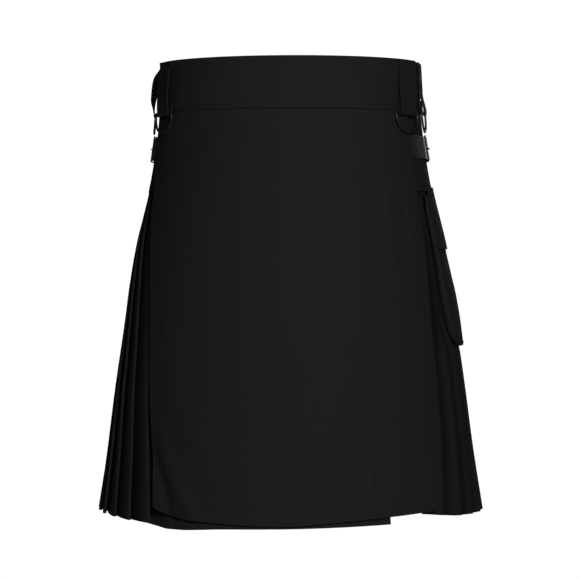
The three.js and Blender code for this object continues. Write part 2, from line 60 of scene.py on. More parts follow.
def from_table(table, x_name, y_name, x):
    order = np.argsort(table[x_name])
    xs = np.array(table[x_name], float)[order]
    ys = np.array(table[y_name], float)[order]
    last = len(xs) - 1
    before = np.maximum(np.arange(last + 1) - 1, 0)
    after = np.minimum(np.arange(last + 1) + 1, last)
    slope = (ys[after] - ys[before]) / (xs[after] - xs[before])
    at = np.clip(x, xs[0], xs[-1])
    i = np.clip(np.searchsorted(xs, at) - 1, 0, last - 1)
    span = xs[i + 1] - xs[i]
    s = (at - xs[i]) / span
    rise = ys[i] + (ys[i + 1] - ys[i]) * s * s * (3 - 2 * s)
    return rise + span * (slope[i] * s * (1 - s) ** 2 - slope[i + 1] * s * s * (1 - s))


def smooth(x, low, high):
    s = np.clip((np.asarray(x, float) - low) / (high - low), 0, 1)
    return s * s * (3 - 2 * s)


def form_sizes(turn, z):
    angle = np.radians(turn)
    front = from_table(FORM, "z", "front", z)
    back = from_table(FORM, "z", "back", z)
    return angle, from_table(FORM, "z", "half", z), np.where(np.cos(angle) >= 0, front, back)


def outward(turn, z):
    angle, half, depth = form_sizes(turn, z)
    out = np.stack(np.broadcast_arrays(np.sin(angle) / half, -np.cos(angle) / depth, 0.0), axis=-1)
    return out / np.linalg.norm(out, axis=-1, keepdims=True)


def place(turn, z, level):
    turn, z, level = np.broadcast_arrays(np.asarray(turn, float), z, level)
    angle, half, depth = form_sizes(turn, z)
    on_form = np.stack([half * np.sin(angle), -depth * np.cos(angle), z], axis=-1)
    return on_form + outward(turn, z) * level[..., None]


def per_degree(turn, z):
    angle, half, depth = form_sizes(turn, z)
    return np.hypot(half * np.cos(angle), depth * np.sin(angle)) * math.pi / 180


def only(obj):
    bpy.ops.object.select_all(action="DESELECT")
    obj.select_set(True)
    bpy.context.view_layer.objects.active = obj


def finish_mesh(obj, angle=50):
    only(obj)
    for modifier in list(obj.modifiers):
        bpy.ops.object.modifier_apply(modifier=modifier.name)
    bpy.ops.object.shade_smooth_by_angle(angle=math.radians(angle))


def in_edit_mode(obj, work):
    only(obj)
    bpy.ops.object.mode_set(mode="EDIT")
    bpy.ops.mesh.select_all(action="SELECT")
    work()
    bpy.ops.object.mode_set(mode="OBJECT")


# A sheet of cloth from a grid of points in millimetres: rows run upwards, columns towards the wearer's left.
# Its map is measured along the cloth, so that the weave keeps its size in every fold. The painted fold shade
# is how deep in a fold each point lies, from 0 to 1, and it darkens the cloth's colour there as painted
# shade.
def cloth_sheet(name, points, thick, material, wraps=False, painted_fold_shade=None):
    rows, columns = points.shape[:2]
    bpy.ops.mesh.primitive_grid_add(x_subdivisions=columns - 1, y_subdivisions=rows - 1, size=1)
    obj = bpy.context.object
    obj.name = name
    obj.data.name = name
    obj.data.vertices.foreach_set("co", (points / 1000).ravel())
    across = np.linalg.norm(np.diff(points, axis=1), axis=-1)
    up = np.linalg.norm(np.diff(points, axis=0), axis=-1)
    u = np.concatenate([np.zeros((rows, 1)), np.cumsum(across, axis=1)], axis=1)
    u -= u[:, columns // 2 : columns // 2 + 1]
    v = np.concatenate([np.zeros((1, columns)), np.cumsum(up, axis=0)], axis=0)
    flat = np.stack([u, v], axis=-1).reshape(-1, 2)
    corners = np.zeros(len(obj.data.loops), int)
    obj.data.loops.foreach_get("vertex_index", corners)
    obj.data.uv_layers[0].uv.foreach_set("vector", flat[corners].ravel())
    # The depth in the folds is stored on the points, to darken the colour there as painted shade.
    if painted_fold_shade is not None:
        fold_shade_layer = obj.data.attributes.new("painted_fold_shade", "FLOAT", "POINT")
        fold_shade_layer.data.foreach_set("value", painted_fold_shade.ravel())
    if wraps:
        in_edit_mode(obj, lambda: bpy.ops.mesh.remove_doubles(threshold=0.00001))
    if thick:
        shell = obj.modifiers.new("thickness", "SOLIDIFY")
        shell.thickness = thick / 1000
        shell.offset = 0
    finish_mesh(obj)
    obj.data.materials.append(material)
    return obj


class Value:
    """A shader socket that takes part in sums."""

    def __init__(self, tree, socket):
        self.tree = tree
        self.socket = socket

    def node(self, kind, settings=(), links=()):
        made = self.tree.nodes.new(kind)
        for key, value in dict(settings).items():
            if key == "stops":
                ramp = made.color_ramp
                for stop, (at, grey) in zip((ramp.elements[0], ramp.elements[1]), value):
                    stop.position = at
                    stop.color = (grey, grey, grey, 1)
            else:
                setattr(made, key, value)
        for key, value in dict(links).items():
            if isinstance(value, Value):
                self.tree.links.new(value.socket, made.inputs[key])
            else:
                made.inputs[key].default_value = value
        return made

    def of(self, kind, settings=(), links=(), output=0):
        return Value(self.tree, self.node(kind, settings, links).outputs[output])

    def sum(self, operation, other=0.0):
        return self.of("ShaderNodeMath", {"operation": operation}, {0: self, 1: other})

    def __add__(self, other):
        return self.sum("ADD", other)

    __radd__ = __add__

    def __mul__(self, other):
        return self.sum("MULTIPLY", other)

    __rmul__ = __mul__

    def __sub__(self, other):
        return self.sum("SUBTRACT", other)

    def __rsub__(self, other):
        return self.of("ShaderNodeMath", {"operation": "SUBTRACT"}, {0: other, 1: self})

    def wave(self, pitch):
        return (self * (2 * math.pi / pitch)).sum("SINE")


def start_material(name, specular, roughness):
    material = bpy.data.materials.new(name)
    material.use_nodes = True
    tree = material.node_tree
    shader = tree.nodes["Principled BSDF"]
    shader.inputs["Specular IOR Level"].default_value = specular
    shader.inputs["Roughness"].default_value = roughness
    where = tree.nodes.new("ShaderNodeTexCoord")
    return material, shader, Value(tree, where.outputs["Object"]), Value(tree, where.outputs["UV"])


def mix_colours(at, dark, light):
    settings = {"data_type": "RGBA"}
    return at.of("ShaderNodeMix", settings, {0: at, 6: (*dark, 1), 7: (*light, 1)}, output=2)


# Black cotton twill, dyed through, a little chalky where it has been handled and rubbed, and darkened to near
# black inside the folds by painted shade. Its fine diagonal follows the cut.
TWILL_DARK = (0.0095, 0.0095, 0.0105)
TWILL_LIGHT = (0.0165, 0.0165, 0.018)
# Near black colour of the painted shade deep inside the folds.
TWILL_PAINTED_FOLD_SHADE = (0.0012, 0.0012, 0.0014, 1)
TWILL_PITCH = 1.1


def twill(name):
    material, shader, at, uv = start_material(name, 0.25, 0.85)
    axes = uv.node("ShaderNodeSeparateXYZ", links={0: uv})
    across, up = (Value(uv.tree, axes.outputs[i]) for i in (0, 1))
    rib = (across + up * 0.8).wave(TWILL_PITCH)
    thread = (across - up * 1.25).wave(TWILL_PITCH * 0.62)
    blotch = at.of("ShaderNodeTexNoise", links={"Vector": at, "Scale": 9.0, "Detail": 3.0})
    lint = at.of("ShaderNodeTexNoise", links={"Vector": at, "Scale": 420.0, "Detail": 2.0})
    shade = rib * 0.16 + blotch * 0.5 + lint * 0.5
    worn = mix_colours(shade, TWILL_DARK, TWILL_LIGHT)
    # Painted shade: the colour goes to near black where a point lies deep in a pleat's fold.
    fold_shade_mask = at.of("ShaderNodeAttribute", {"attribute_name": "painted_fold_shade"}, output=2)
    inputs = {0: fold_shade_mask, 6: worn, 7: TWILL_PAINTED_FOLD_SHADE}
    colour = at.of("ShaderNodeMix", {"data_type": "RGBA"}, inputs, output=2)
    at.tree.links.new(colour.socket, shader.inputs["Base Color"])
    at.tree.links.new((blotch * 0.12 + 0.78).socket, shader.inputs["Roughness"])
    handled = at.of("ShaderNodeTexNoise", links={"Vector": at, "Scale": 38.0, "Detail": 2.0})
    cloth_height = rib * 0.00006 + thread * 0.00003 + handled * 0.00035
    bump = at.of("ShaderNodeBump", links={"Strength": 0.5, "Distance": 1.0, "Height": cloth_height})
    at.tree.links.new(bump.socket, shader.inputs["Normal"])
    return material


cloth_black = twill("black_twill")

# Sewing thread: black polyester, lock stitches a little under three millimetres long. One stitch is modelled
# and laid along each seam, half sunk in the cloth.
STITCH = 2.5
STITCH_PITCH = 3.1


def thread_material():
    material, shader, at, uv = start_material("black_thread", 0.25, 0.7)
    fibre = at.of("ShaderNodeTexNoise", links={"Vector": at, "Scale": 900.0, "Detail": 1.0})
    colour = mix_colours(fibre, (0.007, 0.007, 0.008), (0.018, 0.018, 0.02))
    at.tree.links.new(colour.socket, shader.inputs["Base Color"])
    return material


thread_black = thread_material()
bpy.ops.mesh.primitive_uv_sphere_add(segments=6, ring_count=4, radius=0.5)
one_stitch = bpy.context.object
stitch_points = np.zeros(3 * len(one_stitch.data.vertices))
one_stitch.data.vertices.foreach_get("co", stitch_points)
stitch_points = stitch_points.reshape(-1, 3)[:, [2, 0, 1]]
stitch_faces = [list(face.vertices) for face in one_stitch.data.polygons]
bpy.data.objects.remove(one_stitch)


def read_along(places, lengths, values):
    return np.stack([np.interp(places, lengths, values[:, k]) for k in range(3)], axis=1)


def sew(name, seams):
    """seams: lists of (points, outward normals) in millimetres."""
    step = 0.3
    spots, turned = [], []
    for path, normals in seams:
        lengths = np.concatenate([[0], np.cumsum(np.linalg.norm(np.diff(path, axis=0), axis=1))])
        count = max(1, int(lengths[-1] / STITCH_PITCH))
        middles = (np.arange(count) + 0.5) * lengths[-1] / count
        at, out = read_along(middles, lengths, path), read_along(middles, lengths, normals)
        run = read_along(middles + step, lengths, path) - read_along(middles - step, lengths, path)
        run /= np.linalg.norm(run, axis=1, keepdims=True)
        side = np.cross(out, run)
        side /= np.linalg.norm(side, axis=1, keepdims=True)
        spots.append(at)
        turned.append(np.stack([run * STITCH, side * 0.75, np.cross(run, side) * 0.55], axis=1))
    spots, turned = np.concatenate(spots), np.concatenate(turned)
    points = np.einsum("vk,nkj->nvj", stitch_points, turned) + spots[:, None]
    mesh = bpy.data.meshes.new(name)
    size = len(stitch_points)
    faces = [[v + size * n for v in face] for n in range(len(spots)) for face in stitch_faces]
    mesh.from_pydata((points.reshape(-1, 3) / 1000).tolist(), [], faces)
    mesh.materials.append(thread_black)
    obj = bpy.data.objects.new(name, mesh)
    bpy.context.collection.objects.link(obj)
    only(obj)
    bpy.ops.object.shade_smooth()
    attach(obj, "garment")


def on_form(turns, heights, level):
    """A seam on the form: its points and its outward normals."""
    turns, heights = np.broadcast_arrays(np.asarray(turns, float), np.asarray(heights, float))
    return place(turns, heights, level), outward(turns, heights)


# Creases in the worn cloth. Each stroke has the turn and height of its top, the turn and height of its foot,
# a half width in millimetres, and how far it stands out, which is below nought in a trough.
def creased(strokes, turn, z):
    out = np.zeros(np.broadcast(turn, z).shape)
    for top_turn, top_z, foot_turn, foot_z, width, height in strokes:
        scale = per_degree((top_turn + foot_turn) / 2, (top_z + foot_z) / 2)
        run = np.array([(foot_turn - top_turn) * scale, foot_z - top_z])
        length = np.hypot(*run)
        run /= length
        x, y = (turn - top_turn) * scale, z - top_z
        down = x * run[0] + y * run[1]
        away = x * run[1] - y * run[0]
        bow = 0.05 * length * np.sin(np.clip(down / length, 0, 1) * math.pi)
        ends = smooth(down, -0.12 * length, 0.3 * length) * (1 - smooth(down, 0.7 * length, 1.12 * length))
        out = out + height * ends * np.exp(-(((away - bow) / width) ** 2))
    return out


# The under apron, flat and plain: it comes out of the last pleat on the wearer's right, goes across under the
# over apron and ends in a free hemmed edge. Only its hem shows, below the other. It is pressed in where the
# over apron's own folds dip, so the edges, hems and folds of both aprons are set here.
PLEATS = 30
APRON_EDGES = {
    "z": [40, -35, -98, -142, -200, -280, -415, -482, -580],
    "free": [-76, -73.2, -69.9, -65.4, -59.3, -52.5, -46.2, -43, -38.7],
    "fold": [62, 62.2, 63, 62.6, 58.6, 54.9, 53.3, 52.3, 48.7],
}
UNDER_HEM = {"turn": [310, 326, 345, 365, 394], "z": [-572, -579, -575.5, -573.6, -570.1]}
OVER_HEM = {
    "turn": [-41, -34, -17, 3, 14, 28, 50],
    "z": [-548.5, -559.8, -567.9, -570.2, -566.6, -562, -556],
}
PLEAT_FORM = {
    "z": [-140, -285, -570],
    "first_step": [8, 16, 19],
    "depth": [6.8, 8.2, 11],
    "bend": [0.9, 1.1, 1.6],
}
APRON_FOLDS = [
    (-49, -425, -31, -575, 12, -4.8),
    (-44, -405, -23, -580, 12, 2.6),
    (3, -535, -2, -575, 12, -2),
]
CLOTH_TOP = BAND_BOTTOM - SEAM_GAP
UNDER_END = 393


def fold_edge(z):
    return from_table(APRON_EDGES, "z", "fold", z)


def free_edge(z):
    return from_table(APRON_EDGES, "z", "free", z)


def pleat_form(z, name):
    return from_table(PLEAT_FORM, "z", name, z)


def pleat_edge(i, z):
    fold = fold_edge(z)
    first = fold + pleat_form(z, "first_step") / per_degree(fold + 3, z)
    last = 360 + free_edge(z) - 2
    return fold if i == 0 else first + (last - first) * (i - 1) / (PLEATS - 1)


def pocket_press(turn, z):
    across = smooth(turn, 61, 70.5) * (1 - smooth(turn, 129, 165))
    return 6.8 * across * smooth(-z, 141, 152) * (1 - smooth(-z, 320, 357))


def pleat_top(turn, z):
    settled = smooth(-z, 140, 200)
    sway = 0.6 * np.sin(turn * 0.31) * smooth(-z, 380, 569.5)
    return SKIN_LEVEL - 0.9 * (1 - settled) + sway - pocket_press(turn, z)


def pleat_bottom(turn, z):
    return pleat_top(turn, z) - pleat_form(z, "depth")


def apron_fold(turn, z):
    out = np.zeros(np.broadcast(turn, z).shape)
    for top_turn, top_z, foot_turn, foot_z, width, height in APRON_FOLDS:
        down = np.clip((z - top_z) / (foot_z - top_z), 0, 1)
        away = (turn - top_turn - (foot_turn - top_turn) * down) * per_degree(turn, z) / width
        out = out + height * smooth(down, 0, 0.6) * np.exp(-away * away)
    return out


def under_apron_points(columns, rows):
    down = np.linspace(1, 0, rows)[:, None]
    straight = CLOTH_TOP + (HEM - CLOTH_TOP) * down
    edge = pleat_edge(PLEATS, straight)
    mm = 1 / per_degree(edge, straight)
    bottom = pleat_bottom(edge, straight)
    start = SKIN_LEVEL - CLOTH - 0.6
    start = start + (bottom - start) * smooth(-straight, 95, 139)
    turn = edge + 2 * mm + (UNDER_END - edge - 2 * mm) * np.linspace(0, 1, columns)[None, :]
    turn = np.concatenate([edge - 10 * mm, turn], axis=1)
    z = CLOTH_TOP + (from_table(UNDER_HEM, "turn", "z", turn) - CLOTH_TOP) * down
    rise = smooth(turn, edge + 2 * mm, edge + 48 * mm)
    level = start + (SKIN_LEVEL - start) * rise
    level = level + np.minimum(0, apron_fold(turn - 360, z) + 1.2)
    return place(turn, z, level)


under_apron = cloth_sheet("under_apron_cloth", under_apron_points(80, 100), CLOTH, cloth_black)
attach(under_apron, "garment")
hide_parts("under_apron")


# The pleated skirt: thirty knife pleats pressed into the same cloth, all turned one way, held by the yoke
# above and loose below. Each hangs a little by itself, so their edges waver and open unevenly at the hem.
PLEATS_PER_PANEL = 5
PANELS = PLEATS // PLEATS_PER_PANEL
PLEAT_HEM = {"turn": [45, 62, 90, 180, 270, 325], "z": [-560, -566.5, -568, -571, -568.5, -574]}
UNDERLAP = 0.7
LEAD = 1.6
LAP = 18
PLEATS_TOP = YOKE_BOTTOM - 0.02


def yoke_start(z):
    return fold_edge(z) - LAP / per_degree(fold_edge(z), z)


PLEAT_CREASES = [
    (75, -470, 84, -520, 9, -1.4),
    (112, -420, 104, -500, 8, 1.2),
    (150, -200, 158, -300, 9, -1.3),
    (186, -180, 180, -262, 7, 1.1),
    (205, -330, 214, -430, 10, -1.5),
    (228, -210, 222, -320, 8, 1.2),
    (252, -300, 246, -400, 9, -1.2),
    (268, -190, 264, -260, 7, 1.0),
    (292, -360, 288, -450, 8, -1.2),
]


def pleat_row(panel, down):
    z = PLEATS_TOP + (HEM - PLEATS_TOP) * down
    bend = pleat_form(z, "bend")
    swing = [smooth(-z, 150, 569) * 0.9 * math.sin(i * 2.3 + down * 3.1) for i in range(PLEATS + 2)]

    def edge(i):
        base = pleat_edge(i, z)
        return base + (swing[i] / per_degree(base, z) if 0 < i < PLEATS else 0)

    def tuck(i):
        at = edge(i)
        pitch = edge(i + 1) - at if i < PLEATS else at - edge(i - 1)
        mm = 1 / per_degree(at, z)
        inner = at - UNDERLAP * pitch
        bottom = pleat_bottom(at, z)
        return [(inner + bend * mm * (1 - math.cos(a)), bottom + bend * (1 + math.sin(a))) for a in ARC]

    def crest(i):
        at = edge(i)
        mm = 1 / per_degree(at, z)
        top = pleat_top(at, z)
        return [(at - bend * mm * (1 - math.cos(a)), top - bend * (1 - math.sin(a))) for a in ARC]

    def meeting(i, gap):
        turn, level = tuck(i)[0]
        return (turn + (LEAD + gap) / per_degree(turn, z), level)

    def under_edge(i):
        low, high = pleat_bottom(edge(i), z), pleat_top(edge(i + 1), z)
        return (edge(i), low + (high - low) * UNDERLAP / (1 + UNDERLAP))

    first = panel * PLEATS_PER_PANEL + 1
    corners = []
    for i in range(first, first + PLEATS_PER_PANEL):
        if i == 1:
            level = SKIN_LEVEL - CLOTH - 0.4
            corners += [(yoke_start(z), level), (fold_edge(z) - 1, level)]
        else:
            if i == first:
                corners.append(meeting(i - 1, 0))
            corners += tuck(i - 1) + [under_edge(i - 1)]
        corners += crest(i)
    last = first + PLEATS_PER_PANEL - 1
    if last < PLEATS:
        corners.append(meeting(last, SEAM_GAP))
    else:
        at = edge(last)
        corners += tuck(last) + [(at - (10 + 2 * SEAM_GAP) / per_degree(at, z), pleat_bottom(at, z))]
    line = np.array(corners, float)
    fine = [line[:1]]
    for k in range(len(line) - 1):
        parts = 4 if SPLIT_LEGS[panel][k] else 1
        share = np.linspace(0, 1, parts + 1)[1:, None]
        fine.append(line[k] + (line[k + 1] - line[k]) * share)
    line = np.concatenate(fine)
    foot = from_table(PLEAT_HEM, "turn", "z", line[:, 0])
    level = line[:, 1] + creased(PLEAT_CREASES, line[:, 0], z)
    # How deep each point lies below its pleat's crest, kept as the mask for the painted shade in the folds.
    sunk = (pleat_top(line[:, 0], z) - 0.8 - line[:, 1]) / pleat_form(z, "depth")
    height = PLEATS_TOP + (foot - PLEATS_TOP) * down
    return place(line[:, 0], height, level), smooth(sunk, 0.02, 0.4)


ARC = [math.pi / 2, math.pi / 4, 0, -math.pi / 4, -math.pi / 2]


def leg_pattern(panel):
    """Which stretches of a row are flat legs, laid in four parts, and which lie in a bend."""
    bend, legs = [False] * 4, [True, True]
    start = legs if panel == 0 else [False] + bend + legs
    end = [True] if panel < PANELS - 1 else [True] + bend + [True]
    return start + bend + ([True] + bend + legs + bend) * (PLEATS_PER_PANEL - 1) + end


PLEAT_CUTS = [
    (0.405, 0.437, 0.141),
    (0.437, 0.438, 0.154),
    (0.498, 0.437, 0.179),
    (0.498, 0.439, 0.181),
    (0.437, 0.440, 0.158),
    (0.455, 0.446, 0.157),
]
SPLIT_LEGS = [leg_pattern(panel) for panel in range(PANELS)]
for panel in range(PANELS):
    laid = [pleat_row(panel, down) for down in np.linspace(1, 0, 76)]
    # Each row also brings how deep its points lie in the folds, for the painted shade.
    rows, fold_shade_rows = (np.array(part) for part in zip(*laid))
    pleats = cloth_sheet(f"pleats_{panel + 1}_cloth", rows, CLOTH, cloth_black, painted_fold_shade=fold_shade_rows)
    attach(pleats, "garment")
    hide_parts(f"pleats_{panel + 1}")
    width, length, cut = PLEAT_CUTS[panel]

# The yoke: a smooth piece over the hips and the back, in three widths with a seam on each hip. The pleats are
# sewn to its lower edge, and two rows of stitching along that edge hold them down.
YOKE_SEAMS = (118, 242)
YOKE_CREASES = [
    (131, -58, 150, -64, 7, -0.9),
    (163, -70, 190, -66, 8, 1.0),
    (172, -92, 205, -97, 7, -1.1),
    (210, -60, 232, -68, 6, 0.8),
    (135, -104, 158, -99, 6, 0.7),
    (112, -112, 126, -120, 6, -0.6),
    (238, -108, 252, -116, 6, 0.6),
]


def yoke_end(z):
    return pleat_edge(PLEATS, z)


def at_seam(turn, side):
    return lambda z: turn + side * SEAM_GAP / 2 / per_degree(turn, z)


def yoke_level(turn, z):
    return SKIN_LEVEL + creased(YOKE_CREASES, turn, z)


YOKE_WIDTHS = {
    "yoke_left": (yoke_start, at_seam(YOKE_SEAMS[0], -1), 0.163, 0.107),
    "yoke_back": (at_seam(YOKE_SEAMS[0], 1), at_seam(YOKE_SEAMS[1], -1), 0.389, 0.108),
    "yoke_right": (at_seam(YOKE_SEAMS[1], 1), yoke_end, 0.132, 0.108),
}
for yoke_name, (start, end, width, length) in YOKE_WIDTHS.items():
    z = np.linspace(YOKE_BOTTOM, CLOTH_TOP, 34)[:, None]
    turn = start(z) + (end(z) - start(z)) * np.linspace(0, 1, 80)[None, :]
    yoke = cloth_sheet(f"{yoke_name}_cloth", place(turn, z, yoke_level(turn, z)), CLOTH, cloth_black)
    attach(yoke, "garment")
    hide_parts(yoke_name)


def yoke_seam(turns, heights):
    return on_form(turns, heights, yoke_level(turns, heights) + CLOTH / 2 + 0.05)


round_the_back = np.linspace(64, 292, 240)
down_the_yoke = np.linspace(-38, -138, 30)
sew(
    "yoke_stitching",
    [yoke_seam(round_the_back, np.full(240, height)) for height in (-137.2, -131)]
    + [yoke_seam(np.full(30, turn), down_the_yoke) for turn in (116.6, 243.4)],
)

# Cargo pocket on the wearer's left hip: a bag of the same twill that hangs from the yoke seam and lies on the
# pleats, its mouth covered by a flap sewn on above it. Things carried in it have bellied its front.
POCKET_FORM = {
    "z": [-146, -172, -217, -290, -332, -348],
    "from": [72.6, 72, 71.6, 71.5, 74.5, 80],
    "to": [126.5, 127, 127.5, 127.5, 124.5, 119],
    "outer": [-0.5, -0.3, 0, 3, 4.8, 5.2],
    "inner": [-2.6, -5.8, -5.8, -5.6, -3.4, 0.6],
}
POCKET_CREASES = [
    (80, -225, 90, -262, 6, -1.0),
    (118, -224, 108, -250, 6, -0.9),
    (92, -318, 108, -310, 7, 0.9),
]


def pocket_level(turn, z):
    across = np.clip((turn - 71.5) / 56, 0, 1)
    belly = 1.6 * np.sin(across * math.pi) * smooth(-z, 225, 285) * (1 - smooth(-z, 300, 347))
    return from_table(POCKET_FORM, "z", "outer", z) + belly + creased(POCKET_CREASES, turn, z)


def pocket_ring(z, closing):
    near, far = (from_table(POCKET_FORM, "z", side, z) for side in ("from", "to"))
    mm = 1 / per_degree(92, z)
    share = np.linspace(0, 1, 60)
    turn = near + 2 * mm + (far - near - 4 * mm) * share
    outer = pocket_level(turn, z) + CLOTH / 2
    inner = np.full(60, float(from_table(POCKET_FORM, "z", "inner", z)) - CLOTH / 2)
    middle = (outer + inner) / 2
    outer, inner = middle + (outer - middle) * closing, middle + (inner - middle) * closing
    ends = []
    for side, at in ((1, -1), (-1, 0)):
        height = (outer[at] - inner[at]) / 2
        angles = np.radians([67, 45, 22, 0, -22, -45, -67])
        ends.append(
            (turn[at] + side * 2 * mm * np.cos(angles), middle[at] + side * height * np.sin(angles) * side)
        )
    turns = np.concatenate([turn, ends[0][0], turn[::-1], ends[1][0][::-1]])
    levels = np.concatenate([outer, ends[0][1], inner[::-1], ends[1][1][::-1]])
    turns, levels = np.append(turns, turns[0]), np.append(levels, levels[0])
    return place(turns, z, levels)


bag_rows = [pocket_ring(-348 + 1.2, 0.02), pocket_ring(-348 + 1.4, 0.45), pocket_ring(-348 + 2.2, 0.8)]
bag_rows += [pocket_ring(z, 1) for z in np.linspace(-344, -146, 51)]
pocket_bag = cloth_sheet("pocket_bag_cloth", np.array(bag_rows), 0, cloth_black, wraps=True)
shell = pocket_bag.modifiers.new("thickness", "SOLIDIFY")
shell.thickness = CLOTH / 1000
shell.offset = -1
finish_mesh(pocket_bag)
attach(pocket_bag, "garment")
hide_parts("pocket_bag")

FLAP_FORM = {
    "z": [-134, -175, -217],
    "from": [75.4, 73, 70.6],
    "to": [123.5, 126.5, 128.5],
    "level": [1.1, 1.4, 1.7],
}


def flap_edges(z):
    drop = np.clip(z + 217, 0, 7)
    trim = (7 - np.sqrt(49 - (7 - drop) ** 2)) / per_degree(100, z)
    return from_table(FLAP_FORM, "z", "from", z) + trim, from_table(FLAP_FORM, "z", "to", z) - trim


def flap_level(turn, z):
    lift = 0.7 * np.sin(turn * 0.17) * smooth(-z, 180, 217)
    return from_table(FLAP_FORM, "z", "level", z) + lift + 0.3


z = np.concatenate([np.linspace(-217, -210, 8), np.linspace(-207, -134, 26)])[:, None]
near, far = flap_edges(z)
turn = near + (far - near) * np.linspace(0, 1, 80)[None, :]
flap = cloth_sheet("pocket_flap_cloth", place(turn, z, flap_level(turn, z)), 1.6, cloth_black)
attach(flap, "garment")
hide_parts("pocket_flap")


def flap_seam(turns, heights):
    return on_form(turns, heights, flap_level(turns, heights) + 0.85)


def flap_border(inset):
    heights = np.linspace(-136, -217 + inset, 40)
    near, far = flap_edges(heights)
    mm = 1 / per_degree(100, heights)
    low = np.linspace(near[-1] + inset * mm[-1], far[-1] - inset * mm[-1], 60)
    return [
        flap_seam(near + inset * mm, heights),
        flap_seam(low, np.full(60, -217.0 + inset)),
        flap_seam(far - inset * mm, heights),
    ]


def bag_seam(turns, heights):
    return on_form(turns, heights, pocket_level(turns, heights) + CLOTH + 0.05)


bag_heights = np.linspace(-220, -342, 40)
bag_near, bag_far = (from_table(POCKET_FORM, "z", side, bag_heights) for side in ("from", "to"))
bag_mm = 1 / per_degree(100, bag_heights)
sew(
    "pocket_stitching",
    flap_border(2.5)
    + flap_border(8.5)
    + [flap_seam(np.linspace(77, 122, 60), np.full(60, height)) for height in (-136.5, -142.5)]
    + [
        bag_seam(bag_near + 5 * bag_mm, bag_heights),
        bag_seam(bag_far - 5 * bag_mm, bag_heights),
        bag_seam(np.linspace(82.5, 116.5, 40), np.full(40, -342.0)),
    ],
)

# The over apron: the flat front on top. It is free on the wearer's right, where its edge is hemmed, and is
# folded under on the wearer's left, where the pleats begin. Wearing has left it a few soft folds.
RETURN_LEVEL = 1.1
TURNED_IN = 24
APRON_CREASES = [
    (-43.9, -66, -25.6, -48, 8, -0.9),
    (-48.6, -132, -21.1, -106, 12, -1.3),
    (-50, -168, -30, -146, 7, 1.6),
    (-49, -120, -24, -97, 6, 1.3),
    (-47, -141, -19, -112, 7, 1.7),
    (-47, -440, -33, -560, 7, 1.8),
    (-40, -465, -22, -570, 8, 1.8),
    (-47, -100, -27, -76, 8, 1.2),
    (47.3, -112, 42.2, -262, 8, 1.6),
    (55.5, -110, 49.8, -250, 5, -1.0),
    (36, -150, 33, -300, 11, -0.6),
    (-2.1, -536, -1.6, -562, 5, -0.8),
    (28.5, -470, 28.3, -566, 4, 1.5),
    (-33, -548, -29, -566, 5, 1.5),
    (12, -300, 20, -420, 22, 1.2),
    (-16, -240, -24, -380, 24, -0.7),
    (-56, -215, -50, -330, 9, 0.8),
    (-48, -270, -13, -535, 26, 2.2),
    (-45, -300, -43, -410, 8, -0.7),
    (-8, -80, 14, -96, 13, -0.5),
    (20, -60, 38, -84, 10, 0.5),
]


def apron_level(turn, z):
    return OVER_LEVEL + apron_fold(turn, z) + creased(APRON_CREASES, turn, z)


def apron_height(turn, down):
    return CLOTH_TOP + (from_table(OVER_HEM, "turn", "z", turn) - CLOTH_TOP) * down


down = np.linspace(1, 0, 150)[:, None]
straight = CLOTH_TOP + (HEM - CLOTH_TOP) * down
fold = fold_edge(straight)
mm = 1 / per_degree(fold, straight)
bend = (OVER_LEVEL - RETURN_LEVEL) / 2
turn = free_edge(straight) + (fold - bend * mm - free_edge(straight)) * np.linspace(0, 1, 140)[None, :]
z = apron_height(turn, down)
settle = 1 - smooth(turn, fold - 5 * mm, fold - bend * mm)
level = OVER_LEVEL + (apron_level(turn, z) - OVER_LEVEL) * settle
bends = np.radians([67, 45, 22, 0, -22, -45, -67, -90])[None, :]
edge_turn = fold - bend * mm + bend * mm * np.cos(bends)
edge_level = RETURN_LEVEL + bend + bend * np.sin(bends) + 0 * down
leg_turn = fold - bend * mm - (TURNED_IN - bend) * mm * np.array([[0.25, 0.5, 0.75, 1.0]])
leg_level = np.full(leg_turn.shape, RETURN_LEVEL)
turn = np.concatenate([turn, edge_turn, leg_turn], axis=1)
level = np.concatenate([level, edge_level, leg_level], axis=1)
z = apron_height(turn, down)
over_apron = cloth_sheet("over_apron_cloth", place(turn, z, level), CLOTH, cloth_black)
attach(over_apron, "garment")
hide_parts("over_apron")


def apron_seam(turns, heights):
    return on_form(turns, heights, apron_level(turns, heights) + CLOTH / 2 + 0.05)


apron_heights = np.linspace(-38, -530, 120)
free_line = free_edge(apron_heights) + 7 / per_degree(60, apron_heights)
hem_turns = np.linspace(-42, 46.5, 120)
sew(
    "apron_stitching",
    [
        apron_seam(free_line, apron_heights),
        apron_seam(hem_turns, from_table(OVER_HEM, "turn", "z", hem_turns) + 19),
    ],
)

# The waistband: a long folded band with stiffening inside, topstitched along both edges. It is wound once and
# a third round the waist, over the over apron in front and inside again on the under apron.
BAND_START = -76
BAND_JOIN = 64
BAND_END = 392
BAND_THICK = 3.0
BAND_SEAMS = (26.6, -29.4)
BAND_GAP = SEAM_GAP / per_degree(BAND_JOIN, 0)


def band_level(turn):
    return OVER_LEVEL + (SKIN_LEVEL - OVER_LEVEL) * smooth(turn, BAND_JOIN, BAND_JOIN + 18)


def band_relief(turn, z):
    out = np.zeros(np.broadcast(turn, z).shape)
    for k, seam in enumerate(BAND_SEAMS):
        away = z - seam
        pucker = np.sin(turn * 1.9 + k) * np.sin(turn * 3.3 + 2 * k + 1)
        out = out - 0.34 * np.exp(-((away / 0.9) ** 2)) + 0.16 * pucker * np.exp(-((away / 5) ** 2))
    return out + 0.35 * np.sin(turn * 0.33 + 0.8) * (1 - (z / BAND_TOP) ** 2)


